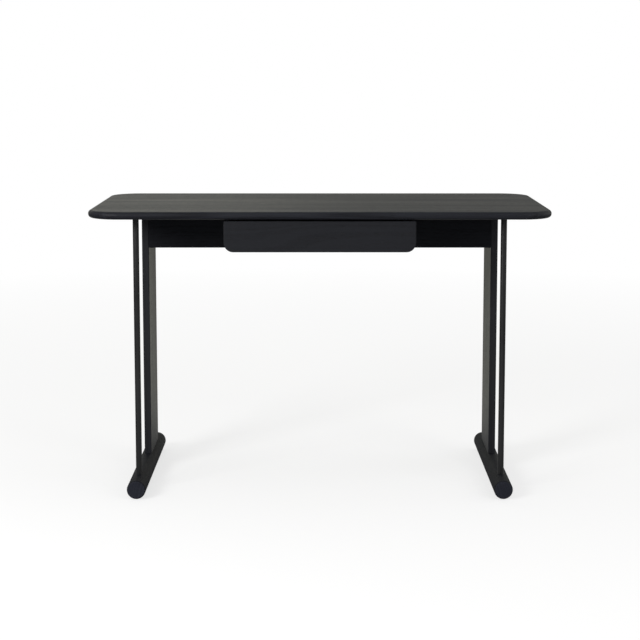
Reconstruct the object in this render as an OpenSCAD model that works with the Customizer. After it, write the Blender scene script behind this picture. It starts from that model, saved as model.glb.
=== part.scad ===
// Writing desk with one drawer.
// Two leg frames, each a round bar foot with a slim steel rod and an upright board,
// carry a soft-edged top. A rail ties the boards, and a drawer on ball runners hangs
// under the front of the top.
// Units are millimetres. +Z is up, the front faces -Y, and the origin is on the floor
// under the middle of the top.

/* [Top] */
// Width of the top, side to side
top_w = 1200; // [1100:10:1400]
// Depth of the top, front to back
top_d = 600; // [580:10:700]
// Thickness of the top
top_t = 20; // [18:1:28]
// Height of the top's upper face above the floor
desk_h = 755; // [720:1:780]
// Radius of the top's four corners, seen from above
top_corner_r = 85; // [30:1:120]
// Radius rolled onto the top's upper and lower edges
top_edge_r = 9.5; // [2:0.5:9.5]

/* [Feet] */
// Diameter of the round bar feet
foot_d = 49; // [44:1:60]
// Distance from the top's front and back edges to the feet's ends
foot_inset = 19; // [10:1:30]
// Radius on the rims of the feet's ends
foot_end_r = 4; // [1:0.5:8]
// Distance from the top's side edge to the middle of the leg frame
leg_inset = 121; // [90:1:180]
// Height that the glides hold the feet off the floor
glide_stand = 1.5; // [1:0.5:3]
// Diameter of a glide's disc
glide_d = 18; // [14:1:22]
// Depth that a glide's disc is let into the foot
glide_let_in = 3; // [2:0.5:5]
// Diameter of a glide's stem
glide_stem_d = 5; // [4:0.5:7]
// Length of a glide's stem
glide_stem_l = 12; // [8:1:16]
// Distance from a foot's end to its glide
glide_from_end = 40; // [25:1:50]

/* [Front rods] */
// Diameter of the front rods
rod_d = 16; // [14:1:20]
// Distance from the top's front edge to the rods' centre line
rod_setback = 96; // [80:1:120]
// Depth of the rods' sockets in the feet
rod_socket = 12; // [8:1:16]
// Length of the threaded stud on each rod's upper end
rod_stud_l = 11; // [8:1:12]

/* [Leg panels] */
// Thickness of the leg panels
panel_t = 19; // [18:1:24]
// Width of the leg panels, front to back
panel_w = 185; // [165:1:205]
// Radius on the panels' upright edges
panel_edge_r = 2; // [0.5:0.5:4]
// Depth of the flat housings that the panels stand in
housing = 3; // [2:0.5:5]

/* [Apron rail] */
// Height of the rail
rail_h = 108; // [95:1:130]
// Thickness of the rail
rail_t = 22; // [20:1:28]
// Step from the panels' front edges back to the rail's face
rail_reveal = 1; // [0:0.5:5]
// Radius on the rail's lower edges
rail_edge_r = 2; // [0.5:0.5:4]

/* [Bolts, inserts and dowels] */
// Thread diameter of the frame bolts
bolt_d = 8; // [6:1:8]
// Diameter of the bolt heads
bolt_head_d = 13; // [12:0.5:14]
// Height of the bolt heads
bolt_head_h = 6; // [4:0.5:8]
// Depth of the bolt heads' seats above the underside of a foot
bolt_seat = 10; // [9:0.5:12]
// Grip of the bolts in the inserts and in the rods
bolt_grip = 15; // [12:1:18]
// Outer diameter of the threaded inserts
insert_d = 12; // [11:0.5:13]
// Length of the inserts in the panels' lower ends
panel_insert_l = 20; // [18:1:25]
// Length of the inserts in the top
top_insert_l = 12; // [10:1:13]
// Distance from each bolt to the panel's nearer edge
panel_bolt_inset = 40; // [35:1:50]
// Diameter of the wooden dowels
dowel_d = 8; // [6:1:8]
// Length of the wooden dowels
dowel_l = 30; // [24:1:32]
// Depth of a rail dowel in the leg panel
dowel_in_panel = 11; // [8:1:13]
// Distance from each panel dowel to the panel's nearer edge
panel_dowel_inset = 18; // [15:1:22]

/* [Cam fittings] */
// Diameter of the cam housings
cam_d = 15; // [12:1:18]
// Depth of the cam housings
cam_h = 13; // [12:0.5:14]
// Distance from the rail's end to a cam's centre
cam_inset = 24; // [20:1:34]
// Shank diameter of the cam bolts
cam_bolt_d = 6; // [5:0.5:7]
// Thread diameter of the cam bolts
cam_thread_d = 5; // [4:0.5:6]
// Thread length of the cam bolts in the panel
cam_thread_l = 11; // [8:1:13]
// Upright distance between the two cams at a rail end
cam_spacing = 60; // [50:1:70]
// Depth of the cam bolts' centre lines behind the rail's back face
cam_bolt_depth = 9; // [8:0.5:9.5]

/* [Steel angles] */
// Sheet thickness of the angles and brackets
angle_t = 2.5; // [2:0.5:3]
// Leg length of the angles and brackets
angle_leg = 30; // [26:1:34]
// Length of the long angles on the leg panels
angle_l = 130; // [110:1:135]
// Distance from the rail's back face to the long angles
angle_gap = 10; // [6:1:14]
// Width of the short brackets behind the rail
bracket_w = 40; // [34:1:60]
// Distance from the desk's middle to the outer brackets
bracket_x = 300; // [250:5:360]
// Inner bend radius of folded sheet
bend_r = 1; // [0.5:0.5:2]
// Distance from a fold to the holes in the angles and brackets
angle_hole_run = 18; // [16:0.5:20]

/* [Screws] */
// Shank diameter of the wood screws
screw_d = 4; // [3.5:0.5:4.5]
// Head diameter of the wood screws
screw_head_d = 8; // [7:0.5:9]
// Head height of the wood screws
screw_head_h = 2.4; // [2:0.2:3]
// Length of the frame's wood screws
screw_l = 14; // [12:1:15]
// Length of the screws that hold the drawer front
front_screw_l = 25; // [20:1:27]
// Distance from a screw to the end of the part that it holds
screw_inset = 12; // [10:1:15]
// Metal left between a screw's head and the free edge of a hanger
head_margin = 2; // [1:0.5:3]

/* [Drawer front] */
// Width of the drawer front
front_w = 492; // [440:1:560]
// Height of the drawer front
front_h = 80; // [76:1:88]
// Thickness of the drawer front
front_t = 19; // [18:1:22]
// Radius of the drawer front's lower corners
front_corner_r = 24.5; // [8:0.5:36]
// Radius on the drawer front's edges
front_edge_r = 1.5; // [0.5:0.5:3]
// Gap between the drawer front and the underside of the top
front_gap = 4.5; // [3:0.5:7]
// Distance from the top's front edge back to the drawer front's face
front_setback = 15; // [8:1:20]
// Depth of the finger pull below the drawer box
pull_lip = 11.5; // [9:0.5:13]

/* [Drawer box] */
// Height of the drawer box
box_h = 56; // [52:1:58]
// Thickness of the box walls
wall_t = 12; // [11:1:15]
// Thickness of the bottom panel
bottom_t = 5; // [4:0.5:6]
// Depth of the grooves that hold the bottom panel
groove = 5; // [4:0.5:6]
// Height of the bottom panel above the walls' lower edges
bottom_raise = 8; // [6:0.5:10]
// Number of tails at each box corner
tails = 3; // [2:1:4]
// Width of a dovetail pin at its narrow end
pin_w = 4; // [3:0.5:6]
// Slope of the dovetails, as run over rise
dovetail_slope = 0.14; // [0.1:0.01:0.2]
// Length that the box is longer than its runners
box_over_runner = 10; // [8:1:14]
// Room behind the closed box, up to the rail
back_room = 28; // [20:1:42]

/* [Runners] */
// Length of the runner members
runner_len = 250; // [230:5:290]
// Height of the outer runner member
runner_h = 45; // [40:1:48]
// Installed width of a runner
runner_w = 12.7; // [12.7:0.1:14]
// Gap from the drawer front to the runners and hangers
runner_start = 4; // [3:0.5:5]
// Thickness of the runner members' webs
web_t = 1.2; // [1:0.1:1.4]
// Thickness of the members' flanges, which carry the ball tracks
flange_t = 1.6; // [1.4:0.1:1.8]
// Thickness of the middle member's flanges, tracked on both sides
middle_flange_t = 2; // [1.8:0.1:2.2]
// Diameter of the bearing balls
ball_d = 3; // [2.8:0.1:3.2]
// Depth that a ball track is pressed into a flange
track_depth = 0.4; // [0.3:0.1:0.5]
// Sheet thickness of the ball cages
cage_t = 0.6; // [0.5:0.1:0.7]
// Length that the ball cages stay inside the members' ends when the drawer is open
cage_margin = 10; // [5:1:20]
// Number of balls in each row
balls_per_row = 5; // [3:1:7]
// Distance from the ball tracks to the runner's drawer side
track_from_drawer = 4.3; // [4.1:0.1:4.5]
// Full travel of the drawer
travel = 240; // [200:5:240]

/* [Hangers] */
// Sheet thickness of the hangers
hanger_t = 2; // [1.5:0.5:2.5]
// Distance from the drawer front's side edge to a hanger's outer face
hanger_inset = 10; // [6:1:16]
// Width of the hangers' flanges
hanger_flange = 25; // [23:1:28]
// Length of web that a hanger shows below its runner
hanger_below = 2.5; // [1:0.5:4]
// Relief between a hanger's top flange and its rear tab
hanger_relief = 8; // [6:1:12]
// Diameter of the rivets between hanger and runner
rivet_d = 4; // [3.5:0.5:4.5]
// Head diameter of the countersunk rivets and runner screws
flush_head_d = 6.4; // [6:0.2:7]
// Shank diameter of the runner screws
runner_screw_d = 3; // [2.5:0.5:3]
// Length of the runner screws
runner_screw_l = 10; // [8:1:11]
// Distance from a runner's end to its first fixing
runner_fix_inset = 30; // [20:1:40]
// Diameter of the drawer's closing bumpers
bumper_d = 8; // [6:1:10]

/* [Clearances] */
// Gap round bolts, dowels and inserts, on the radius
fit = 0.1; // [0.05:0.05:0.15]
// Gap round screws, rivets and threads in the holes that they fill, on the radius
bite = 0.05; // [0.02:0.01:0.08]
// Extra radius of a through hole for a bolt or screw
through = 0.2; // [0.15:0.05:0.3]
// Gap between a ball and its tracks
ball_gap = 0.3; // [0.25:0.05:0.35]
// Gap between the closed drawer's bumpers and the hangers
bumper_gap = 0.3; // [0.2:0.1:0.5]
// Gap between a ball cage's strip and the webs beside it
cage_step = 0.6; // [0.5:0.05:0.7]

/* [Hidden] */
$fn = 64;
// Length that a cut runs past a face
past = 1;
// Depth that a pilot hole runs past its screw's tip
tip_room = 0.5;
// Least flat left beside a slab's rounded edges
rim_flat = 0.5;

// Finishes
black_stain = "#2b2c2f";
black_paint = "#26272b";
zinc = "#a9adb2";
bright_steel = "#c8ccd0";
dowel_wood = "#c9a877";
black_nylon = "#1b1c1e";

// Levels
underside = desk_h - top_t;
foot_axis_z = glide_stand + foot_d / 2;
foot_top_z = glide_stand + foot_d;
panel_foot_z = foot_top_z - housing;
panel_h = underside - panel_foot_z;
rod_foot_z = foot_top_z - rod_socket;
bolt_seat_z = glide_stand + bolt_seat;
rail_mid_z = underside - rail_h / 2;

// Drawer and its carriers
front_y = front_setback - top_d / 2;
front_back_y = front_y + front_t;
front_top_z = underside - front_gap;
front_low_z = front_top_z - front_h;
box_z = front_low_z + pull_lip;
box_d = runner_len + box_over_runner;
hanger_x = front_w / 2 - hanger_inset;
runner_x = hanger_x - hanger_t;
box_x = runner_x - runner_w;
box_inner_x = box_x - wall_t;
runner_y = front_back_y + runner_start;
runner_z = box_z + box_h / 2;
hanger_low_z = runner_z - runner_h / 2 - hanger_below;
bottom_z = box_z + bottom_raise;

// Places of the leg frames. The rail clears the drawer, and the panels follow it.
foot_len = top_d - 2 * foot_inset;
leg_x = top_w / 2 - leg_inset;
panel_inner_x = leg_x - panel_t / 2;
rod_y = rod_setback - top_d / 2;
rail_front_y = front_back_y + box_d + back_room;
panel_front_y = rail_front_y - rail_reveal;
panel_mid_y = panel_front_y + panel_w / 2;
rail_back_y = rail_front_y + rail_t;
rail_mid_y = rail_front_y + rail_t / 2;
glide_y = foot_len / 2 - glide_from_end;
cam_y = rail_back_y - cam_bolt_depth;

// Runner section: ball rows and flanges, measured from the runner's middle line.
// u runs from the hanger to the drawer.
track_r = ball_d / 2 + ball_gap;
track_u = runner_w - track_from_drawer;
outer_flange_v = runner_h / 2 - flange_t;
outer_ball_v = outer_flange_v + track_depth - track_r;
middle_flange_v = outer_ball_v - track_r + track_depth - middle_flange_t;
inner_ball_v = middle_flange_v + track_depth - track_r;
inner_flange_v = inner_ball_v - track_r + track_depth - flange_t;
outer_cage_u = web_t + cage_step;
middle_u = outer_cage_u + cage_t + cage_step;
inner_cage_u = middle_u + web_t + cage_step;
inner_reach_u = inner_cage_u + cage_t + cage_step;
flange_end_u = track_u + track_r;
cage_end_u = track_u + ball_d / 2;
// At full travel the members overlap by their length less half the travel, and the
// cages, which roll at half the speed of their members, stay in that overlap
cage_len = runner_len - travel / 2 - 2 * cage_margin;
cage_y = runner_y + runner_len / 2 - cage_len / 2;

// Screw places: each is [point on the seat, turn that points the shank]
shank_up = [0, 0, 0];
shank_back = [-90, 0, 0];
shank_front = [90, 0, 0];
shank_right = [0, 90, 0];
hanger_flange_end = rail_front_y - hanger_relief;
hanger_screw_x = hanger_x - hanger_flange + screw_head_d / 2 + head_margin;
hanger_top_screws = [
    for (y = ends(runner_y, hanger_flange_end, screw_inset))
        [[hanger_screw_x, y, underside - hanger_t], shank_up]
];
hanger_tab_screws = [
    for (z = ends(hanger_low_z, underside - hanger_relief, screw_inset))
        [[hanger_screw_x, rail_front_y - hanger_t, z], shank_back]
];
angle_y = rail_back_y + angle_gap;
angle_top_screws = [
    for (y = ends(angle_y, angle_y + angle_l, screw_inset))
        [[panel_inner_x - angle_hole_run, y, underside - angle_t], shank_up]
];
angle_side_screws = [
    for (y = ends(angle_y, angle_y + angle_l, 2 * screw_inset))
        [[panel_inner_x - angle_t, y, underside - angle_hole_run], shank_right]
];
bracket_places = [-bracket_x, 0, bracket_x];
bracket_top_screws = [
    for (x = bracket_places, s = [-1, 1])
        [[x + s * (bracket_w / 2 - screw_inset), rail_back_y + angle_hole_run,
          underside - angle_t], shank_up]
];
bracket_rail_screws = [
    for (x = bracket_places)
        [[x, rail_back_y + angle_t, underside - angle_hole_run], shank_front]
];
panel_bolt_ys = [panel_front_y + panel_bolt_inset, panel_front_y + panel_w - panel_bolt_inset];
panel_dowel_ys = [panel_front_y + panel_dowel_inset, panel_front_y + panel_w - panel_dowel_inset];
cam_zs = [rail_mid_z - cam_spacing / 2, rail_mid_z + cam_spacing / 2];
runner_fix_ys = ends(runner_y, runner_y + runner_len, runner_fix_inset);
front_screw_xs = [-box_inner_x / 2, box_inner_x / 2];
front_screw_zs = [bottom_z + bottom_t + screw_inset, box_z + box_h - screw_inset];

// Three places from a to b: one near each end and one in the middle
function ends(a, b, inset) = [a + inset, (a + b) / 2, b - inset];

// ---------------------------------------------------------------- shared shapes

// Draws its children on the right as made, or mirrored onto the left
module on_side(side) {
    mirror([side < 0 ? 1 : 0, 0, 0]) children();
}

module on_both_sides() {
    for (side = [-1, 1]) on_side(side) children();
}

module rounded_rect(w, d, r) {
    square([w - 2 * r, d], center = true);
    square([w, d - 2 * r], center = true);
    for (x = [-1, 1], y = [-1, 1])
        translate([x * (w / 2 - r), y * (d / 2 - r)]) circle(r);
}

// Section through a slab's rim, from a centre line out to its rounded edge
module rim_profile(reach, t, r) {
    square([reach - r, t]);
    translate([0, r]) square([reach, t - 2 * r]);
    for (z = [r, t - r]) translate([reach - r, z]) intersection() {
        circle(r);
        translate([0, -r]) square([r, 2 * r]);
    }
}

// One straight side of a slab, lying along X with its rounded edge towards +Y
module rim_strip(length, band, t, r) {
    rotate([90, 0, 90]) translate([0, 0, -length / 2])
        linear_extrude(length) rim_profile(band, t, r);
}

// Slab centred on Z, with its own corner radius at each end and all edges rounded.
// near_r rounds the two corners at -Y and far_r the two at +Y.
module soft_slab(w, d, t, near_r, far_r, edge_r) {
    r = min(edge_r, (t - rim_flat) / 2);
    band = r + rim_flat;
    near = max(near_r, band);
    far = max(far_r, band);
    linear_extrude(t) difference() {
        square([w - 2 * band, d - 2 * band], center = true);
        for (s = [-1, 1]) {
            translate([s * w / 2, -d / 2]) square(2 * near, center = true);
            translate([s * w / 2, d / 2]) square(2 * far, center = true);
        }
    }
    for (s = [-1, 1]) {
        translate([s * (w / 2 - near), near - d / 2, 0])
            rotate(s < 0 ? 180 : 270) rotate_extrude(angle = 90) rim_profile(near, t, r);
        translate([s * (w / 2 - far), d / 2 - far, 0])
            rotate(s < 0 ? 90 : 0) rotate_extrude(angle = 90) rim_profile(far, t, r);
        translate([s * (w / 2 - band), (near - far) / 2, 0])
            rotate(s < 0 ? 90 : 270) rim_strip(d - near - far, band, t, r);
    }
    translate([0, band - d / 2, 0]) rotate(180) rim_strip(w - 2 * near, band, t, r);
    translate([0, d / 2 - band, 0]) rim_strip(w - 2 * far, band, t, r);
}

// Sheet folded at a right angle, with the outside of the fold at the origin
module fold_profile(a, b, t) {
    outer = bend_r + t;
    translate([outer, 0]) square([a - outer, t]);
    translate([0, outer]) square([t, b - outer]);
    intersection() {
        translate([outer, outer]) difference() {
            circle(outer);
            circle(bend_r);
        }
        square(outer);
    }
}

// Pan-head wood screw, seated at z = 0 with its shank up
module wood_screw(length) {
    tip = screw_d;
    bevel = 1;
    rotate_extrude() polygon([
        [0, -screw_head_h], [screw_head_d / 2 - bevel, -screw_head_h],
        [screw_head_d / 2, bevel - screw_head_h], [screw_head_d / 2, 0],
        [screw_d / 2, 0], [screw_d / 2, length - tip], [0, length]
    ]);
}

module at_places(places) {
    for (p = places) translate(p[0]) rotate(p[1]) children();
}

// Hole that a wood screw fills in wood
module pilot(length) {
    cylinder(r = screw_d / 2 + bite, h = length + tip_room);
}

// Hole that a wood screw passes in sheet metal
module clear_hole(t) {
    translate([0, 0, -past]) cylinder(r = screw_d / 2 + through, h = t + 2 * past);
}

// Countersunk pin with a flat head at z = 0 and its shank up. With a gap on the radius
// it is the hole for that pin.
module flush_pin(d, length, gap = 0) {
    sink = (flush_head_d - d) / 2;
    cylinder(d1 = flush_head_d + 2 * gap, d2 = d + 2 * gap, h = sink);
    cylinder(r = d / 2 + gap, h = length);
}

// ---------------------------------------------------------------- top and legs

module tabletop() {
    color(black_stain) difference() {
        translate([0, 0, underside])
            soft_slab(top_w, top_d, top_t, top_corner_r, top_corner_r, top_edge_r);
        on_both_sides() {
            translate([leg_x, rod_y, underside - past])
                cylinder(r = insert_d / 2 + fit, h = top_insert_l + past);
            at_places(hanger_top_screws) pilot(screw_l);
            at_places(angle_top_screws) pilot(screw_l);
        }
        at_places(bracket_top_screws) pilot(screw_l);
    }
}

// Round bar along Y with softened rims
module foot_bar() {
    r = foot_d / 2;
    rotate([90, 0, 0]) translate([0, 0, -foot_len / 2]) rotate_extrude() {
        square([r - foot_end_r, foot_len]);
        translate([0, foot_end_r]) square([r, foot_len - 2 * foot_end_r]);
        for (z = [foot_end_r, foot_len - foot_end_r])
            translate([r - foot_end_r, z]) circle(foot_end_r);
    }
}

// Bore for a frame bolt, from its head's recess under the foot to the top of the foot
module bolt_way() {
    cylinder(r = bolt_head_d / 2 + through, h = bolt_seat_z);
    cylinder(r = bolt_d / 2 + through, h = foot_top_z);
}

module foot(side) {
    color(black_stain) on_side(side) translate([leg_x, 0, 0]) difference() {
        translate([0, 0, foot_axis_z]) foot_bar();
        translate([0, panel_mid_y, panel_foot_z]) linear_extrude(housing + past)
            rounded_rect(panel_t + 2 * fit, panel_w + 2 * fit, panel_edge_r);
        translate([0, rod_y, rod_foot_z])
            cylinder(r = rod_d / 2 + fit, h = rod_socket + past);
        translate([0, rod_y, 0]) bolt_way();
        for (y = panel_bolt_ys) translate([0, y, 0]) bolt_way();
        for (y = panel_dowel_ys) translate([0, y, panel_foot_z - dowel_l / 2])
            cylinder(r = dowel_d / 2 + fit, h = dowel_l / 2 + past);
        for (s = [-1, 1]) translate([0, s * glide_y, 0]) {
            cylinder(r = glide_d / 2 + fit, h = glide_stand + glide_let_in);
            cylinder(r = glide_stem_d / 2 + fit,
                     h = glide_stand + glide_let_in + glide_stem_l + tip_room);
        }
    }
}

module front_rod(side) {
    color(black_paint) on_side(side) translate([leg_x, rod_y, 0]) {
        difference() {
            translate([0, 0, rod_foot_z]) cylinder(d = rod_d, h = underside - rod_foot_z);
            translate([0, 0, rod_foot_z - past])
                cylinder(r = bolt_d / 2 + fit, h = bolt_grip + 2 * past);
        }
        translate([0, 0, underside]) cylinder(d = bolt_d, h = rod_stud_l);
    }
}

module leg_panel(side) {
    color(black_stain) on_side(side) difference() {
        translate([leg_x, panel_mid_y, panel_foot_z]) linear_extrude(panel_h)
            rounded_rect(panel_t, panel_w, panel_edge_r);
        for (y = panel_bolt_ys) translate([leg_x, y, panel_foot_z - past])
            cylinder(r = insert_d / 2 + fit, h = panel_insert_l + past);
        for (y = panel_dowel_ys) translate([leg_x, y, panel_foot_z - past])
            cylinder(r = dowel_d / 2 + fit, h = dowel_l / 2 + past);
        for (z = cam_zs) translate([panel_inner_x - past, cam_y, z]) rotate([0, 90, 0])
            cylinder(r = cam_thread_d / 2 + bite, h = cam_thread_l + tip_room + past);
        translate([panel_inner_x - past, rail_mid_y, rail_mid_z]) rotate([0, 90, 0])
            cylinder(r = dowel_d / 2 + fit, h = dowel_in_panel + past);
        at_places(angle_side_screws) pilot(screw_l);
    }
}

module apron_rail() {
    color(black_stain) difference() {
        translate([-panel_inner_x, rail_mid_y, rail_mid_z]) rotate([0, 90, 0])
            linear_extrude(2 * panel_inner_x) rail_section();
        on_both_sides() {
            for (z = cam_zs) {
                translate([panel_inner_x - cam_inset, rail_back_y + past, z])
                    rotate([90, 0, 0]) cylinder(r = cam_d / 2 + fit, h = cam_h + past);
                translate([panel_inner_x + past, cam_y, z]) rotate([0, -90, 0])
                    cylinder(r = cam_bolt_d / 2 + through, h = cam_inset + past);
            }
            translate([panel_inner_x + past, rail_mid_y, rail_mid_z]) rotate([0, -90, 0])
                cylinder(r = dowel_d / 2 + fit, h = dowel_l - dowel_in_panel + past);
            at_places(hanger_tab_screws) pilot(screw_l);
        }
        at_places(bracket_rail_screws) pilot(screw_l);
    }
}

// Rail section with X down and Y back, square above and softened below
module rail_section() {
    difference() {
        square([rail_h, rail_t], center = true);
        for (s = [-1, 1]) translate([rail_h / 2, s * rail_t / 2]) difference() {
            square(2 * rail_edge_r, center = true);
            translate([-rail_edge_r, -s * rail_edge_r]) circle(rail_edge_r);
        }
    }
}

// ---------------------------------------------------------------- frame fittings

// Nail-in glides: a disc with a bevelled rim, and a stem
module foot_glides() {
    bevel = 1;
    disc_h = glide_stand + glide_let_in;
    color(black_nylon) on_both_sides() for (s = [-1, 1])
        translate([leg_x, s * glide_y, 0]) {
            cylinder(d1 = glide_d - 2 * bevel, d2 = glide_d, h = bevel);
            translate([0, 0, bevel]) cylinder(d = glide_d, h = disc_h - bevel);
            cylinder(d = glide_stem_d, h = disc_h + glide_stem_l);
        }
}

// Cap bolt with a hexagon socket, seated under a foot
module cap_bolt(length) {
    translate([0, 0, bolt_seat_z]) {
        cylinder(d = bolt_d, h = length);
        translate([0, 0, -bolt_head_h]) difference() {
            cylinder(d = bolt_head_d, h = bolt_head_h);
            translate([0, 0, -past])
                cylinder(d = bolt_head_d / 2, h = bolt_head_h / 2 + past, $fn = 6);
        }
    }
}

module rod_bolts() {
    color(zinc) on_both_sides() translate([leg_x, rod_y, 0])
        cap_bolt(rod_foot_z - bolt_seat_z + bolt_grip);
}

module panel_bolts() {
    color(zinc) on_both_sides() for (y = panel_bolt_ys) translate([leg_x, y, 0])
        cap_bolt(panel_foot_z - bolt_seat_z + bolt_grip);
}

// Threaded insert with a bore through it, standing on z = 0
module insert(length) {
    difference() {
        cylinder(d = insert_d, h = length);
        translate([0, 0, -past]) cylinder(r = bolt_d / 2 + fit, h = length + 2 * past);
    }
}

module panel_inserts() {
    color(zinc) on_both_sides() for (y = panel_bolt_ys)
        translate([leg_x, y, panel_foot_z]) insert(panel_insert_l);
}

module rod_inserts() {
    color(zinc) on_both_sides() translate([leg_x, rod_y, underside]) insert(top_insert_l);
}

// Dowel along Z from z = 0, with chamfered ends
module dowel() {
    chamfer = 1;
    r = dowel_d / 2;
    rotate_extrude() polygon([
        [0, 0], [r - chamfer, 0], [r, chamfer],
        [r, dowel_l - chamfer], [r - chamfer, dowel_l], [0, dowel_l]
    ]);
}

module panel_dowels() {
    color(dowel_wood) on_both_sides() for (y = panel_dowel_ys)
        translate([leg_x, y, panel_foot_z - dowel_l / 2]) dowel();
}

module rail_dowels() {
    color(dowel_wood) on_both_sides()
        translate([panel_inner_x + dowel_in_panel, rail_mid_y, rail_mid_z])
            rotate([0, -90, 0]) dowel();
}

// Cam housing with a cross slot in its open face and a way for the bolt's head
module rail_cams() {
    slot_w = 2;
    slot_depth = 1.5;
    slot_l = cam_d * 0.6;
    color(zinc) on_both_sides() for (z = cam_zs)
        translate([panel_inner_x - cam_inset, rail_back_y, z]) difference() {
            rotate([90, 0, 0]) cylinder(d = cam_d, h = cam_h);
            for (turn = [0, 90]) rotate([0, turn, 0])
                cube([slot_l, 2 * slot_depth, slot_w], center = true);
            translate([0, cam_y - rail_back_y, 0]) rotate([0, 90, 0])
                cylinder(r = cam_bolt_d / 2 + through, h = cam_d);
        }
}

module rail_cam_bolts() {
    color(zinc) on_both_sides() for (z = cam_zs)
        translate([panel_inner_x, cam_y, z]) rotate([0, 90, 0]) {
            cylinder(d = cam_thread_d, h = cam_thread_l);
            translate([0, 0, -cam_inset]) cylinder(d = cam_bolt_d, h = cam_inset);
        }
}

module panel_angle(side) {
    color(black_paint) on_side(side) difference() {
        translate([panel_inner_x, angle_y + angle_l, underside]) rotate([90, 90, 0])
            mirror([0, 1, 0]) linear_extrude(angle_l) fold_profile(angle_leg, angle_leg, angle_t);
        at_places(angle_top_screws) clear_hole(angle_t);
        at_places(angle_side_screws) clear_hole(angle_t);
    }
}

module rail_brackets() {
    color(black_paint) difference() {
        for (x = bracket_places) translate([x - bracket_w / 2, rail_back_y, underside])
            rotate([0, 90, 0]) linear_extrude(bracket_w)
                fold_profile(angle_leg, angle_leg, angle_t);
        at_places(bracket_top_screws) clear_hole(angle_t);
        at_places(bracket_rail_screws) clear_hole(angle_t);
    }
}

module frame_screws() {
    color(zinc) {
        on_both_sides() {
            at_places(hanger_top_screws) wood_screw(screw_l);
            at_places(hanger_tab_screws) wood_screw(screw_l);
            at_places(angle_top_screws) wood_screw(screw_l);
            at_places(angle_side_screws) wood_screw(screw_l);
        }
        at_places(bracket_top_screws) wood_screw(screw_l);
        at_places(bracket_rail_screws) wood_screw(screw_l);
    }
}

// ---------------------------------------------------------------- hangers and runners

// Folded hanger: web beside the runner, flange under the top, tab against the rail
module drawer_hanger(side) {
    web_h = underside - hanger_low_z;
    color(black_paint) on_side(side) difference() {
        union() {
            translate([hanger_x, hanger_flange_end, underside]) rotate([90, 90, 0])
                mirror([0, 1, 0]) linear_extrude(hanger_flange_end - runner_y)
                    fold_profile(web_h, hanger_flange, hanger_t);
            translate([hanger_x, rail_front_y, hanger_low_z]) rotate(180)
                linear_extrude(web_h - hanger_relief)
                    fold_profile(hanger_flange, 2 * hanger_relief, hanger_t);
        }
        at_places(hanger_top_screws) clear_hole(hanger_t);
        at_places(hanger_tab_screws) clear_hole(hanger_t);
        rivet_places() flush_pin(rivet_d, web_t + hanger_t + past, bite);
    }
}

// Places a runner section, drawn in u (from the hanger) and v (up), along Y
module along_runner(side, start, length) {
    on_side(side) translate([runner_x, start + length, runner_z]) rotate([90, 0, 0])
        mirror([1, 0, 0]) linear_extrude(length) children();
}

// Channel section with its web from u0 to u1 and flanges at height v on both sides
module channel(u0, u1, web_u, v, thick) {
    translate([web_u, -v - thick]) square([web_t, 2 * (v + thick)]);
    for (s = [-1, 1]) translate([u0, s > 0 ? v : -v - thick]) square([u1 - u0, thick]);
}

module tracks(v) {
    for (s = [-1, 1]) translate([track_u, s * v]) circle(track_r);
}

module runner_outer(side) {
    color(zinc) difference() {
        along_runner(side, runner_y, runner_len) difference() {
            channel(0, flange_end_u, 0, outer_flange_v, flange_t);
            tracks(outer_ball_v);
        }
        on_side(side) rivet_places() flush_pin(rivet_d, web_t + past, bite);
    }
}

// Places of the rivets on the right, from the runner's inside out through the hanger
module rivet_places() {
    for (y = runner_fix_ys) translate([runner_x - web_t, y, runner_z])
        rotate([0, 90, 0]) children();
}

module runner_rivets() {
    color(zinc) on_both_sides() rivet_places() flush_pin(rivet_d, web_t + hanger_t);
}

module runner_middle(side) {
    color(zinc) along_runner(side, runner_y, runner_len) difference() {
        channel(middle_u, flange_end_u, middle_u, middle_flange_v, middle_flange_t);
        tracks(outer_ball_v);
        tracks(inner_ball_v);
    }
}

module runner_inner(side) {
    color(zinc) difference() {
        along_runner(side, runner_y, runner_len) difference() {
            channel(inner_reach_u, runner_w, runner_w - web_t, inner_flange_v, flange_t);
            tracks(inner_ball_v);
        }
        on_side(side) runner_screw_places() flush_pin(runner_screw_d, web_t + past, bite);
    }
}

// Places of the screws on the right, from the runner's inside into the drawer side
module runner_screw_places() {
    for (y = runner_fix_ys) translate([box_x + web_t, y, runner_z])
        rotate([0, -90, 0]) children();
}

module runner_screws() {
    color(zinc) on_both_sides() runner_screw_places()
        flush_pin(runner_screw_d, runner_screw_l);
}

// Places along Y of the balls in a cage
ball_ys = [
    for (i = [0 : balls_per_row - 1]) cage_y + cage_len * (i + 0.5) / balls_per_row
];

module ball_places(v) {
    for (y = ball_ys, s = [-1, 1]) translate([runner_x - track_u, y, runner_z + s * v])
        children();
}

// Pressed strip that holds two rows of balls between two members
module ball_cage(side, web_u, v) {
    lip = 1;
    color(bright_steel) difference() {
        along_runner(side, cage_y, cage_len) {
            translate([web_u, -v - cage_t / 2]) square([cage_t, 2 * v + cage_t]);
            for (s = [-1, 1]) translate([web_u, s * v - cage_t / 2])
                square([cage_end_u + lip - web_u, cage_t]);
        }
        on_side(side) ball_places(v) translate([0, 0, -cage_t])
            cylinder(r = ball_d / 2 + fit, h = 2 * cage_t);
    }
}

module balls(v) {
    color(bright_steel) on_both_sides() ball_places(v) sphere(d = ball_d, $fn = 32);
}

// ---------------------------------------------------------------- drawer

module drawer_front() {
    color(black_stain) difference() {
        translate([0, front_back_y, front_low_z + front_h / 2]) rotate([90, 0, 0])
            soft_slab(front_w, front_h, front_t, front_corner_r, front_edge_r, front_edge_r);
        for (x = front_screw_xs, z = front_screw_zs)
            translate([x, front_back_y + wall_t, z]) rotate([90, 0, 0]) pilot(front_screw_l);
    }
}

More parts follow.
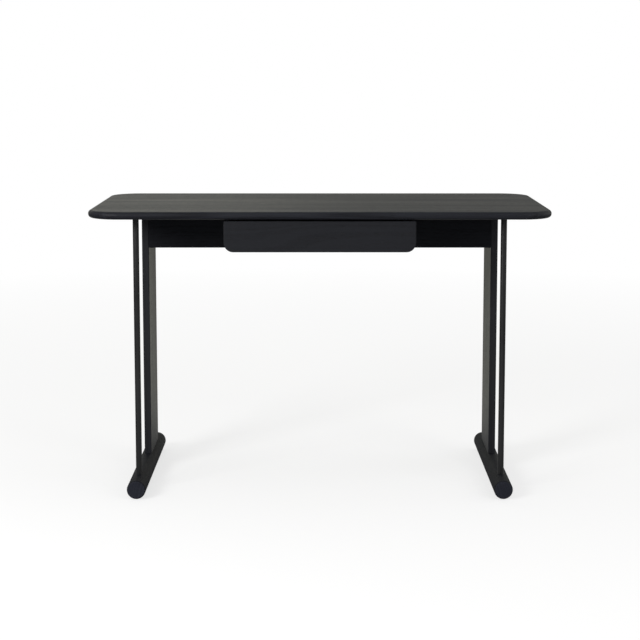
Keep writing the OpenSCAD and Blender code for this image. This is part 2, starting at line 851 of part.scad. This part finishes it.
// Side views of the dovetail pins at a box end, from the end face at y = 0 inwards
module pin_shapes() {
    widen = wall_t * dovetail_slope;
    for (i = [0 : tails]) {
        z = box_h * i / tails;
        half = pin_w / 2;
        intersection() {
            polygon([
                [0, z - half], [wall_t, z - half - widen],
                [wall_t, z + half + widen], [0, z + half]
            ]);
            square([wall_t, box_h]);
        }
    }
}

// Pins across the thickness of the right side wall, at the front (1) or back (-1) end
module corner_pins(end) {
    y = end > 0 ? front_back_y : front_back_y + box_d;
    translate([box_inner_x, y, box_z]) mirror([0, end > 0 ? 0 : 1, 0])
        rotate([90, 0, 90]) linear_extrude(wall_t) pin_shapes();
}

// Space of the bottom panel and its grooves, grown by a gap all round
module bottom_space(gap) {
    w = 2 * (box_inner_x + groove);
    d = box_d - 2 * wall_t + 2 * groove;
    translate([0, front_back_y + box_d / 2, bottom_z + bottom_t / 2])
        cube([w + gap, d + gap, bottom_t + gap], center = true);
}

module drawer_side(side) {
    color(black_stain) on_side(side) difference() {
        translate([box_inner_x, front_back_y, box_z]) cube([wall_t, box_d, box_h]);
        corner_pins(1);
        corner_pins(-1);
        bottom_space(2 * fit);
        runner_screw_places()
            flush_pin(runner_screw_d, runner_screw_l + tip_room, bite);
    }
}

// Front or back wall of the box, with pins that pass through the side walls
module cross_wall(end) {
    y = end > 0 ? front_back_y : front_back_y + box_d - wall_t;
    translate([-box_inner_x, y, box_z]) cube([2 * box_inner_x, wall_t, box_h]);
    on_both_sides() corner_pins(end);
}

module drawer_box_front() {
    color(black_stain) difference() {
        cross_wall(1);
        bottom_space(2 * fit);
        for (x = front_screw_xs, z = front_screw_zs)
            translate([x, front_back_y + wall_t, z]) rotate([90, 0, 0]) clear_hole(wall_t);
    }
}

module drawer_back() {
    color(black_stain) difference() {
        cross_wall(-1);
        bottom_space(2 * fit);
    }
}

module drawer_bottom() {
    color(black_stain) bottom_space(-2 * fit);
}

module drawer_front_screws() {
    color(zinc) for (x = front_screw_xs, z = front_screw_zs)
        translate([x, front_back_y + wall_t, z]) rotate([90, 0, 0]) wood_screw(front_screw_l);
}

// Soft discs on the back of the drawer front, one before each hanger's edge
module drawer_bumpers() {
    color(black_nylon) on_both_sides()
        translate([hanger_x - hanger_t / 2, front_back_y, runner_z]) rotate([-90, 0, 0])
            cylinder(d = bumper_d, h = runner_start - bumper_gap);
}

// ---------------------------------------------------------------- assembly

tabletop();
foot(-1);  // left_foot
foot(1);  // right_foot
front_rod(-1);  // left_front_rod
front_rod(1);  // right_front_rod
leg_panel(-1);  // left_leg_panel
leg_panel(1);  // right_leg_panel
apron_rail();
foot_glides();
rod_bolts();
panel_bolts();
panel_inserts();
rod_inserts();
panel_dowels();
rail_dowels();
rail_cams();
rail_cam_bolts();
panel_angle(-1);  // left_panel_angle
panel_angle(1);  // right_panel_angle
rail_brackets();
frame_screws();
drawer_hanger(-1);  // left_drawer_hanger
drawer_hanger(1);  // right_drawer_hanger
runner_outer(-1);  // left_runner_outer
runner_outer(1);  // right_runner_outer
runner_rivets();
runner_middle(-1);  // left_runner_middle
runner_middle(1);  // right_runner_middle
ball_cage(-1, outer_cage_u, outer_ball_v);  // left_outer_ball_cage
ball_cage(1, outer_cage_u, outer_ball_v);  // right_outer_ball_cage
balls(outer_ball_v);  // outer_balls
ball_cage(-1, inner_cage_u, inner_ball_v);  // left_inner_ball_cage
ball_cage(1, inner_cage_u, inner_ball_v);  // right_inner_ball_cage
balls(inner_ball_v);  // inner_balls
runner_inner(-1);  // left_runner_inner
runner_inner(1);  // right_runner_inner
runner_screws();
drawer_front();
drawer_box_front();
drawer_side(-1);  // drawer_left_side
drawer_side(1);  // drawer_right_side
drawer_back();
drawer_bottom();
drawer_front_screws();
drawer_bumpers();
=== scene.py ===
import math

import bpy
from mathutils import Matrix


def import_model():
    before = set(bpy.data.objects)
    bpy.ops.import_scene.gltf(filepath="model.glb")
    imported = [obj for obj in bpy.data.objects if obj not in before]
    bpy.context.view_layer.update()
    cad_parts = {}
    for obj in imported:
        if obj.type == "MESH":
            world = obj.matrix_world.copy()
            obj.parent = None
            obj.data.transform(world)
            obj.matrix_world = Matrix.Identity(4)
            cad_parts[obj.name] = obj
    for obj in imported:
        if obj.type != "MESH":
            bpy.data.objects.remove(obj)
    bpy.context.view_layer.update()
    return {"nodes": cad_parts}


# Camera: metres, millimetres and degrees, in the desk's own frame
LENS_MM = 90.668
SENSOR_MM = 36.0
CAMERA_PLACE = (0.0004, -4.3763, 1.1356)
CAMERA_DOWN = 7.032
SHIFT_Y = -0.09375
CAMERA_REACH = 100.0

# Sockets of Blender's Mix node when it mixes colours
MIX_FACTOR, MIX_A, MIX_B, MIX_RESULT = 0, 6, 7, 2

NO_SHIFT = (0.0, 0.0, 0.0)
WHITE = (1.0, 1.0, 1.0)
WARM = (1.0, 1.0, 0.88)
ALONG = {"X": 0, "Y": 1, "Z": 2}

# Most values of a noise lie in this band
NOISE_LOW = 0.3
NOISE_HIGH = 0.7
NOISE_MIDDLE = 0.5

# Edges: the cosine between the true and the rounded normal, on a flat face and on a sharp edge
EDGE_FLAT = 0.995
EDGE_SHARP = 0.80
EDGE_SAMPLES = 4

# Texture scales are in cells per metre. A pair of them is along the grain and across it.

# Growth rings: their gap in metres, how far the heart of the log wanders, and their stretch
RING_GAP = 0.0042
RING_STRETCH = (0.035, 1.0)
RING_BAND = (0.28, 0.72)
WANDER = 0.045
WANDER_SCALE = (1.3, 7.0)

# Stained wood: two near tones, the tone inside the pores, and the tone of worn edges
TONE_DARK = (0.0049, 0.0054, 0.0080)
TONE_LIGHT = (0.0114, 0.0124, 0.0165)
PORE_TONE = (0.0035, 0.0035, 0.0045)
WORN_TONE = (0.046, 0.046, 0.047)
PORE_COVER = 0.75
WORN_EDGE = 0.0016
WORN_BAND = (0.35, 0.70)
WORN_COVER = (0.02, 0.25)
FIBRE_SCALE = (7.0, 520.0)
PATCH_ALONG = 1.6
END_GRAIN = (0.70, 0.95)
# Pores are short dashes. They are many where a ring is at its lowest, and few elsewhere.
DASH_SCALE = (45.0, 1300.0)
DASH_BAND = (0.44, 0.36)
PORE_RINGS = (0.62, 0.30)
PORE_SHARE = (0.25, 1.0)

# How much each layer of the wood counts in its tone, its roughness and its height
TONE_SHARES = {"rings": 0.30, "fibres": 0.60, "patches": 0.60, "less": 0.25}
ROUGH_SHARES = {"rings": 0.25, "fibres": 0.30, "patches": 0.45, "pores": 0.15}
HEIGHT_SHARES = {"rings": 0.22, "fibres": 0.45, "pores": 0.9}
ROUGH_BAND = (0.32, 0.68)
WOOD_BUMP = {"strength": 0.6, "distance": 0.0002}

# Wood by name: its nodes, its grain axis, its shift from the heart of the log in metres,
# and where its gloss and figure differ from the rest
WOODS = {
    # The tabletop's lift of 1.35 is painted light: a lighter copy of the wood for the light on
    # the top
    "top_wood": (
        ["tabletop"],
        "X",
        (0.3, -0.08, -0.57),
        {"specular": 0.18, "rough": (0.42, 0.63), "band": 20.0, "spread": 0.16, "lift": 1.35},
    ),
    "foot_wood": (
        ["left_foot", "right_foot"],
        "Y",
        (0.0, 0.37, 0.05),
        # The feet's end_lift of 2.6 is partly end-grain tone and partly painted light on their
        # lit ends
        {"specular": 0.105, "rough": (0.60, 0.72), "end_lift": 2.6},
    ),
    "panel_wood": (
        ["left_leg_panel", "right_leg_panel"],
        "Z",
        (0.25, -0.05, 0.2),
        {"specular": 0.31, "spread": 0.24},
    ),
    "rail_wood": (["apron_rail"], "X", (1.7, 0.10, -0.74), {"specular": 0.11, "spread": 0.50}),
    "front_wood": (["drawer_front"], "X", (0.9, 0.42, -0.65), {"spread": 0.60}),
    "end_wood": (["drawer_box_front", "drawer_back"], "X", (2.3, 0.12, -0.63), {}),
    "bottom_wood": (["drawer_bottom"], "X", (4.1, -0.06, -0.50), {}),
    "side_wood": (["drawer_left_side", "drawer_right_side"], "Y", (0.15, 1.1, -0.63), {}),
}

# Powder coat on steel
COAT_TONE = (0.0071, 0.0073, 0.0078)
COAT_LIGHTER = 1.5
COAT_WORN = (0.075, 0.078, 0.082)
COAT_WORN_COVER = 0.35
COAT_EDGE = 0.0012
COAT_ROUGH = (0.30, 0.40)
COAT_SPECULAR = 0.46
COAT_SCALES = {"peel": 850.0, "drift": 9.0, "grit": 3200.0}
COAT_GRIT = 0.25
COAT_BUMP = {"strength": 0.30, "distance": 0.00008}

# Bare and plated steel by name: its colour, its roughness, and the axis of its drawing lines
STEELS = {
    "runner_zinc": ((0.60, 0.62, 0.65), (0.26, 0.42), "Y"),
    "cage_steel": ((0.70, 0.71, 0.72), (0.20, 0.34), "Y"),
    "ball_steel": ((0.78, 0.79, 0.80), (0.06, 0.12), "Y"),
    "fixing_zinc": ((0.56, 0.58, 0.60), (0.24, 0.40), "Z"),
}
STEEL_LINES = (12.0, 2200.0)
STEEL_CLOUDS = 55.0
STEEL_CLOUD_BAND = (0.30, 0.72)
STEEL_DARKER = 0.84
STEEL_ROUGH_LINES = 0.6
STEEL_ROUGH_CLOUDS = 0.4
STEEL_BUMP = {"strength": 0.25, "distance": 0.00004}

# Moulded nylon and rubber by name: its colour and its roughness
MOULDED = {
    "glide_nylon": ((0.014, 0.014, 0.015), (0.42, 0.6)),
    "bumper_rubber": ((0.02, 0.02, 0.021), (0.7, 0.85)),
}
SKIN_SCALE = 1600.0
SCUFF_SCALES = (70.0, 190.0, 110.0)
SCUFF_BAND = (0.52, 0.78)
SCUFF_COVER = 0.7
SCUFF_GAIN = 2.2
SCUFF_LIFT = 0.01
SKIN_BUMP = {"strength": 0.4, "distance": 0.00008}

# Beech dowels
BEECH_DARK = (0.44, 0.29, 0.16)
BEECH_LIGHT = (0.63, 0.45, 0.28)
BEECH_SCALES = (500.0, 500.0, 30.0)
BEECH_ROUGH = (0.55, 0.75)
BEECH_BUMP = {"strength": 0.4, "distance": 0.0001}

# Studio: the level of the room toward each side, where 1 shows as white
BACKDROP = 1.0
ROOM = {"back": 0.56, "front": 0.06, "left": 0.52, "right": 0.68, "up": 0.58}
SIDES = {
    "back": (0.0, 1.0, 0.0),
    "front": (0.0, -1.0, 0.0),
    "left": (-1.0, 0.0, 0.0),
    "right": (1.0, 0.0, 0.0),
    "up": (0.0, 0.0, 1.0),
}
LOBE_POWER = 2.0

# Softboxes: place, aim, width and height in metres, power in watts, colour
LAMPS = {
    "left_lamp": ((-2.4, -3.0, 1.9), (0.0, 0.0, 0.5), 1.4, 1.1, 106.0, WHITE),
    "right_lamp": ((2.2, -2.6, 1.8), (0.0, 0.0, 0.5), 1.4, 1.1, 22.0, WHITE),
    "side_lamp": ((3.2, 0.5, 1.3), (0.4, 0.0, 0.45), 1.3, 1.3, 9.0, WHITE),
    "back_lamp": ((-0.9, 2.9, 2.2), (0.0, 0.0, 0.6), 1.6, 1.0, 6.0, WARM),
}

# Floor: its half width in metres, its paint, and its paint's level to the camera and to light
FLOOR_HALF = 12.0
FLOOR_GRAIN_SCALE = 40.0
FLOOR_GRAIN = 0.02
FLOOR_ROUGH = 0.9
FLOOR_SPECULAR = 0.1
FLOOR_SEEN = 1.0
FLOOR_BOUNCE = 0.40
# The share of even white that the camera sees, at these distances from the desk's middle
FADE_REACH = (1.0, 4.5)
FADE_SHARE = (0.70, 1.0)
# How bright the floor shows in a gloss reflection, as a painted glow that falls into a painted
# shadow beside and under the desk. A span is of places, in metres, from front to back and from
# left to right, and then of distances from the middle, aside and away.
GLOW_DEPTH = {"span": (-0.5, 0.4), "level": (0.65, 0.92)}
GLOW_ACROSS = {"span": (-1.2, 1.2), "level": (0.76, 1.02)}
GLOW_ASIDE = {"span": (0.8, 1.6), "level": (1.0, 0.25)}
GLOW_UNDER_DESK_SHADOW = {"span": (0.3, 0.8), "level": (0.35, 1.0)}
# Over this span from front to back the floor turns warm in a gloss reflection
WARM_DEPTH = (0.2, 1.0)


# ---------------------------------------------------------------- node helpers


def put(tree, kind, settings=None, **inputs):
    """Adds a node. An input that is a socket is linked, and any other is set."""
    made = tree.nodes.new(kind)
    for key, value in (settings or {}).items():
        setattr(made, key, value)
    for key, value in inputs.items():
        into = made.inputs[key.replace("_", " ")]
        join(tree, value, into)
    return made


def join(tree, value, into):
    if isinstance(value, bpy.types.NodeSocket):
        tree.links.new(value, into)
    else:
        into.default_value = value


def calc(tree, operation, a, b=0.0, c=0.0):
    made = tree.nodes.new("ShaderNodeMath")
    made.operation = operation
    for socket, value in zip(made.inputs, (a, b, c)):
        join(tree, value, socket)
    return made.outputs[0]


def times(tree, a, b):
    return calc(tree, "MULTIPLY", a, b)


def add_times(tree, a, b, rest):
    """a times b, plus the rest."""
    return calc(tree, "MULTIPLY_ADD", a, b, rest)


def ramp(tree, value, low, high, out_low=0.0, out_high=1.0):
    """A clamped straight line through two points."""
    made = put(tree, "ShaderNodeMapRange", {"clamp": True}, Value=value)
    for key, number in (
        ("From Min", low),
        ("From Max", high),
        ("To Min", out_low),
        ("To Max", out_high),
    ):
        join(tree, number, made.inputs[key])
    return made.outputs["Result"]


def spread_out(tree, value, out_low=0.0, out_high=1.0):
    """A noise with the band of most of its values drawn out over a whole range."""
    return ramp(tree, value, NOISE_LOW, NOISE_HIGH, out_low, out_high)


def mix_colour(tree, factor, a, b):
    made = tree.nodes.new("ShaderNodeMix")
    made.data_type = "RGBA"
    join(tree, factor, made.inputs[MIX_FACTOR])
    join(tree, a, made.inputs[MIX_A])
    join(tree, b, made.inputs[MIX_B])
    return made.outputs[MIX_RESULT]


def mix_shader(tree, factor, a, b):
    made = tree.nodes.new("ShaderNodeMixShader")
    for socket, value in zip(made.inputs, (factor, a, b)):
        tree.links.new(value, socket)
    return made.outputs[0]


def vector(tree, operation, *values):
    made = tree.nodes.new("ShaderNodeVectorMath")
    made.operation = operation
    for socket, value in zip(made.inputs, values):
        join(tree, value, socket)
    return made.outputs["Value" if operation in ("LENGTH", "DOT_PRODUCT") else "Vector"]


def rgba(colour):
    return (*colour, 1.0)


def lifted(colour, by):
    """The same colour, lighter or darker."""
    return rgba(tuple(part * by for part in colour))


def even(number):
    """The same number along all three axes."""
    return (number, number, number)


def stretched(axis, along, across):
    """A texture scale that runs long along one axis."""
    scale = [across, across, across]
    scale[ALONG[axis]] = along
    return tuple(scale)


def place(tree, scale, shift=NO_SHIFT):
    """The surface's place in metres, scaled for a texture."""
    where = tree.nodes.new("ShaderNodeTexCoord").outputs["Object"]
    made = put(tree, "ShaderNodeMapping", Vector=where, Scale=scale, Location=shift)
    return made.outputs["Vector"]


def noise_node(tree, scale, shift, detail, roughness):
    return put(
        tree,
        "ShaderNodeTexNoise",
        Vector=place(tree, scale, shift),
        Scale=1.0,
        Detail=detail,
        Roughness=roughness,
    )


def noise(tree, scale, shift=NO_SHIFT, detail=3.0, roughness=0.5):
    return noise_node(tree, scale, shift, detail, roughness).outputs[0]


def material(name):
    made = bpy.data.materials.new(name)
    made.use_nodes = True
    tree = made.node_tree
    shader = tree.nodes["Principled BSDF"]
    return made, tree, shader


def bump(tree, height, strength, distance):
    made = put(tree, "ShaderNodeBump", Height=height, Strength=strength, Distance=distance)
    return made.outputs["Normal"]


def edge_mask(tree, radius):
    """1 along sharp edges, falling to 0 on flat faces."""
    made = put(tree, "ShaderNodeBevel", {"samples": EDGE_SAMPLES}, Radius=radius)
    soft = made.outputs["Normal"]
    flat = tree.nodes.new("ShaderNodeNewGeometry").outputs["Normal"]
    return ramp(tree, vector(tree, "DOT_PRODUCT", soft, flat), EDGE_FLAT, EDGE_SHARP)


# ---------------------------------------------------------------- materials


def growth_rings(tree, axis, heart):
    """Uneven rings round the heart of the log, which wanders slowly along the grain."""
    wander = noise_node(tree, stretched(axis, *WANDER_SCALE), heart, detail=2.0, roughness=0.45)
    drift = vector(tree, "SUBTRACT", wander.outputs["Color"], even(NOISE_MIDDLE))
    where = place(tree, even(1.0), heart)
    where = vector(tree, "MULTIPLY_ADD", drift, even(WANDER), where)
    where = vector(tree, "MULTIPLY", where, stretched(axis, *RING_STRETCH))
    turns = calc(tree, "DIVIDE", vector(tree, "LENGTH", where), RING_GAP)
    rings = put(
        tree,
        "ShaderNodeTexNoise",
        {"noise_dimensions": "1D"},
        W=turns,
        Scale=1.0,
        Detail=3.0,
        Roughness=0.55,
    )
    return ramp(tree, rings.outputs[0], *RING_BAND)


def open_pores(tree, axis, heart, rings):
    """1 in the short open pores, most of which lie in the early wood of each ring."""
    dashes = noise(tree, stretched(axis, *DASH_SCALE), heart, detail=1.0)
    early = ramp(tree, rings, *PORE_RINGS, *PORE_SHARE)
    return times(tree, ramp(tree, dashes, *DASH_BAND), early)


def end_grain(tree, axis):
    """1 where the surface cuts across the fibres, and 0 along them."""
    normal = tree.nodes.new("ShaderNodeNewGeometry").outputs["Normal"]
    along = stretched(axis, 1.0, 0.0)
    cut = calc(tree, "ABSOLUTE", vector(tree, "DOT_PRODUCT", normal, along))
    return ramp(tree, cut, *END_GRAIN)


def stained_wood(
    name,
    axis,
    heart,
    specular=0.245,
    rough=(0.47, 0.57),
    band=14.0,
    spread=0.35,
    lift=1.0,
    end_lift=1.15,
):
    """Open-pored wood under black stain, with its grain along one axis.

    band is the number of patches across a metre of grain. A smaller spread makes the figure
    stronger. lift and end_lift lighten the long grain and the end grain. The tabletop's lift is
    painted light on the top, and end_lift is partly end-grain tone and partly painted light on
    the lit end faces.
    """
    made, tree, shader = material(name)
    rings = growth_rings(tree, axis, heart)
    fibres = noise(tree, stretched(axis, *FIBRE_SCALE), heart, detail=4.0, roughness=0.62)
    patches = noise(tree, stretched(axis, PATCH_ALONG, band), heart)
    pores = open_pores(tree, axis, heart, rings)

    share = TONE_SHARES
    tone = add_times(tree, rings, share["rings"], times(tree, fibres, share["fibres"]))
    tone = calc(tree, "SUBTRACT", tone, share["less"])
    tone = add_times(tree, patches, share["patches"], tone)
    tone = ramp(tree, tone, NOISE_MIDDLE - spread, NOISE_MIDDLE + spread)
    # lift and end_lift paint light into the tone: a lighter tabletop and lighter end faces
    wood = mix_colour(tree, tone, lifted(TONE_DARK, lift), lifted(TONE_LIGHT, lift))
    ends = mix_colour(tree, tone, lifted(TONE_DARK, end_lift), lifted(TONE_LIGHT, end_lift))
    wood = mix_colour(tree, end_grain(tree, axis), wood, ends)
    wood = mix_colour(tree, times(tree, pores, PORE_COVER), wood, rgba(PORE_TONE))
    patchy = ramp(tree, fibres, *WORN_BAND, *WORN_COVER)
    worn = times(tree, edge_mask(tree, WORN_EDGE), patchy)
    wood = mix_colour(tree, worn, wood, rgba(WORN_TONE))
    tree.links.new(wood, shader.inputs["Base Color"])

    share = ROUGH_SHARES
    dull = add_times(tree, rings, share["rings"], times(tree, fibres, share["fibres"]))
    dull = add_times(tree, patches, share["patches"], dull)
    dull = ramp(tree, dull, *ROUGH_BAND, *rough)
    dull = add_times(tree, pores, share["pores"], dull)
    tree.links.new(dull, shader.inputs["Roughness"])
    shader.inputs["Specular IOR Level"].default_value = specular

    share = HEIGHT_SHARES
    height = add_times(tree, rings, share["rings"], times(tree, fibres, share["fibres"]))
    height = calc(tree, "SUBTRACT", height, times(tree, pores, share["pores"]))
    tree.links.new(bump(tree, height, **WOOD_BUMP), shader.inputs["Normal"])
    return made


def powder_coat(name):
    """Fine powder coat on steel, with the slight orange peel that it cures to."""
    made, tree, shader = material(name)
    peel = noise(tree, even(COAT_SCALES["peel"]), detail=2.0)
    drift = noise(tree, even(COAT_SCALES["drift"]))
    grit = noise(tree, even(COAT_SCALES["grit"]), detail=1.0)
    lighter = lifted(COAT_TONE, COAT_LIGHTER)
    body = mix_colour(tree, spread_out(tree, drift), rgba(COAT_TONE), lighter)
    worn = times(tree, edge_mask(tree, COAT_EDGE), COAT_WORN_COVER)
    body = mix_colour(tree, worn, body, rgba(COAT_WORN))
    tree.links.new(body, shader.inputs["Base Color"])
    tree.links.new(spread_out(tree, drift, *COAT_ROUGH), shader.inputs["Roughness"])
    shader.inputs["Specular IOR Level"].default_value = COAT_SPECULAR
    height = add_times(tree, grit, COAT_GRIT, peel)
    tree.links.new(bump(tree, height, **COAT_BUMP), shader.inputs["Normal"])
    return made


def plated_steel(name):
    """Rolled and plated steel, with drawing lines along one axis and faint cloudiness."""
    colour, rough, axis = STEELS[name]
    made, tree, shader = material(name)
    lines = noise(tree, stretched(axis, *STEEL_LINES))
    clouds = noise(tree, even(STEEL_CLOUDS), detail=4.0, roughness=0.6)
    cloudy = ramp(tree, clouds, *STEEL_CLOUD_BAND)
    body = mix_colour(tree, cloudy, lifted(colour, STEEL_DARKER), rgba(colour))
    tree.links.new(body, shader.inputs["Base Color"])
    shader.inputs["Metallic"].default_value = 1.0
    blend = times(tree, clouds, STEEL_ROUGH_CLOUDS)
    blend = add_times(tree, lines, STEEL_ROUGH_LINES, blend)
    tree.links.new(spread_out(tree, blend, *rough), shader.inputs["Roughness"])
    tree.links.new(bump(tree, lines, **STEEL_BUMP), shader.inputs["Normal"])
    return made


def moulded(name):
    """Moulded nylon or rubber with a fine spark-eroded skin and pale scuffs."""
    colour, rough = MOULDED[name]
    made, tree, shader = material(name)
    skin = noise(tree, even(SKIN_SCALE))
    scuffs = noise(tree, SCUFF_SCALES, detail=4.0, roughness=0.65)
    lighter = tuple(part * SCUFF_GAIN + SCUFF_LIFT for part in colour)
    scuffed = ramp(tree, scuffs, *SCUFF_BAND, 0.0, SCUFF_COVER)
    body = mix_colour(tree, scuffed, rgba(colour), rgba(lighter))
    tree.links.new(body, shader.inputs["Base Color"])
    tree.links.new(spread_out(tree, scuffs, *rough), shader.inputs["Roughness"])
    tree.links.new(bump(tree, skin, **SKIN_BUMP), shader.inputs["Normal"])
    return made


def beech(name):
    """Pale dowel wood with short rays along the grain."""
    made, tree, shader = material(name)
    fibres = noise(tree, BEECH_SCALES, detail=4.0)
    body = mix_colour(tree, spread_out(tree, fibres), rgba(BEECH_DARK), rgba(BEECH_LIGHT))
    tree.links.new(body, shader.inputs["Base Color"])
    tree.links.new(spread_out(tree, fibres, *BEECH_ROUGH), shader.inputs["Roughness"])
    tree.links.new(bump(tree, fibres, **BEECH_BUMP), shader.inputs["Normal"])
    return made


def both(*kinds):
    """The names of the left node and the right node of each kind."""
    return [f"{side}_{kind}" for kind in kinds for side in ("left", "right")]


def dress(nodes, names, made):
    for name in names:
        slots = nodes[name].data.materials
        for i in range(len(slots)):
            slots[i] = made


def dress_wood(nodes):
    for name, (names, axis, heart, own) in WOODS.items():
        dress(nodes, names, stained_wood(name, axis, heart, **own))


def dress_metal(nodes):
    coated = both("front_rod", "panel_angle", "drawer_hanger") + ["rail_brackets"]
    runners = both("runner_outer", "runner_middle", "runner_inner")
    cages = both("outer_ball_cage", "inner_ball_cage")
    balls = ["outer_balls", "inner_balls"]
    fixings = [
        "rod_bolts",
        "panel_bolts",
        "panel_inserts",
        "rod_inserts",
        "rail_cams",
        "rail_cam_bolts",
        "frame_screws",
        "runner_rivets",
        "runner_screws",
        "drawer_front_screws",
    ]
    dress(nodes, coated, powder_coat("black_powder_coat"))
    dress(nodes, runners, plated_steel("runner_zinc"))
    dress(nodes, cages, plated_steel("cage_steel"))
    dress(nodes, balls, plated_steel("ball_steel"))
    dress(nodes, fixings, plated_steel("fixing_zinc"))


def dress_small_parts(nodes):
    dress(nodes, ["panel_dowels", "rail_dowels"], beech("dowel_beech"))
    dress(nodes, ["foot_glides"], moulded("glide_nylon"))
    dress(nodes, ["drawer_bumpers"], moulded("bumper_rubber"))


# ---------------------------------------------------------------- studio


def camera():
    data = bpy.data.cameras.new("camera")
    data.sensor_width = SENSOR_MM
    data.lens = LENS_MM
    data.shift_y = SHIFT_Y
    data.clip_end = CAMERA_REACH
    made = bpy.data.objects.new("camera", data)
    made.location = CAMERA_PLACE
    made.rotation_euler = (math.radians(90.0 - CAMERA_DOWN), 0.0, 0.0)
    bpy.context.scene.collection.objects.link(made)
    bpy.context.scene.camera = made


def floor_glow(tree, across, depth):
    """How bright a gloss reflection shows the floor, as a painted glow. It darkens beside and
    under the desk as a painted shadow.
    """
    glow = ramp(tree, depth, *GLOW_DEPTH["span"], *GLOW_DEPTH["level"])
    aside = calc(tree, "ABSOLUTE", across)
    away = calc(tree, "ABSOLUTE", depth)
    for where, part in ((across, GLOW_ACROSS), (aside, GLOW_ASIDE), (away, GLOW_UNDER_DESK_SHADOW)):
        glow = times(tree, glow, ramp(tree, where, *part["span"], *part["level"]))
    return glow


def floor_paint():
    """Pale paint that keeps the desk's shadow, and evens out to white far from the desk.

    The camera and gloss reflections see it bright. It throws less light back at the desk.
    """
    made, tree, shader = material("floor_paint")
    path = tree.nodes.new("ShaderNodeLightPath")
    by_camera = path.outputs["Is Camera Ray"]
    by_gloss = path.outputs["Is Glossy Ray"]
    grain = noise(tree, even(FLOOR_GRAIN_SCALE), detail=4.0)
    pale = ramp(tree, by_camera, 0.0, 1.0, FLOOR_BOUNCE, FLOOR_SEEN)
    pale = add_times(tree, grain, FLOOR_GRAIN, pale)
    tree.links.new(pale, shader.inputs["Base Color"])
    shader.inputs["Roughness"].default_value = FLOOR_ROUGH
    shader.inputs["Specular IOR Level"].default_value = FLOOR_SPECULAR

    where = place(tree, even(1.0))
    split = put(tree, "ShaderNodeSeparateXYZ", Vector=where)
    across = split.outputs["X"]
    depth = split.outputs["Y"]
    far = times(tree, ramp(tree, depth, *WARM_DEPTH), by_gloss)
    # Gloss reflections see the floor as a painted glow, with a painted shadow under and beside
    # the desk
    level = times(tree, by_gloss, floor_glow(tree, across, depth))
    level = add_times(tree, by_camera, BACKDROP, level)
    tint = mix_colour(tree, far, rgba(WHITE), rgba(WARM))
    seen = put(tree, "ShaderNodeEmission", Color=tint, Strength=level)

    fade = ramp(tree, vector(tree, "LENGTH", where), *FADE_REACH, *FADE_SHARE)
    share = calc(tree, "MAXIMUM", times(tree, by_camera, fade), by_gloss)
    mixed = mix_shader(tree, share, shader.outputs[0], seen.outputs[0])
    tree.links.new(mixed, tree.nodes["Material Output"].inputs["Surface"])
    return made


def floor():
    half = FLOOR_HALF
    corners = [(-half, -half, 0.0), (half, -half, 0.0), (half, half, 0.0), (-half, half, 0.0)]
    mesh = bpy.data.meshes.new("floor")
    mesh.from_pydata(corners, [], [(0, 1, 2, 3)])
    mesh.materials.append(floor_paint())
    made = bpy.data.objects.new("floor", mesh)
    bpy.context.scene.collection.objects.link(made)


def world():
    """White to the camera. To the desk it is a studio, with a level for each side."""
    made = bpy.data.worlds.new("studio")
    bpy.context.scene.world = made
    made.use_nodes = True
    tree = made.node_tree
    tree.nodes.clear()
    toward = tree.nodes.new("ShaderNodeTexCoord").outputs["Generated"]
    level = 0.0
    shares = {}
    for side, direction in SIDES.items():
        lobe = vector(tree, "DOT_PRODUCT", toward, direction)
        share = calc(tree, "POWER", calc(tree, "MAXIMUM", lobe, 0.0), LOBE_POWER)
        level = add_times(tree, share, ROOM[side], level)
        shares[side] = share
    tint = mix_colour(tree, shares["back"], rgba(WHITE), rgba(WARM))
    room = put(tree, "ShaderNodeBackground", Color=tint, Strength=level)
    white = put(tree, "ShaderNodeBackground", Color=rgba(WHITE), Strength=BACKDROP)
    path = tree.nodes.new("ShaderNodeLightPath")
    by_camera = path.outputs["Is Camera Ray"]
    mixed = mix_shader(tree, by_camera, room.outputs[0], white.outputs[0])
    out = tree.nodes.new("ShaderNodeOutputWorld")
    tree.links.new(mixed, out.inputs["Surface"])


def aimed(where, toward):
    """The rotation that turns a lamp, which shines down its own -Z, from where to toward."""
    aim = [end - start for end, start in zip(toward, where)]
    flat = math.hypot(aim[0], aim[1])
    tilt = math.atan2(flat, -aim[2])
    turn = math.atan2(aim[1], aim[0]) - math.pi / 2
    return (tilt, 0.0, turn)


def softbox(name, where, toward, width, height, power, colour):
    data = bpy.data.lights.new(name, "AREA")
    data.shape = "RECTANGLE"
    data.size = width
    data.size_y = height
    data.energy = power
    data.color = colour
    made = bpy.data.objects.new(name, data)
    made.location = where
    made.rotation_euler = aimed(where, toward)
    bpy.context.scene.collection.objects.link(made)


def lights():
    for name, row in LAMPS.items():
        softbox(name, *row)


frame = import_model()
bpy.context.scene.view_settings.view_transform = "Standard"
camera()
world()
lights()
floor()
dress_wood(frame["nodes"])
dress_metal(frame["nodes"])
dress_small_parts(frame["nodes"])
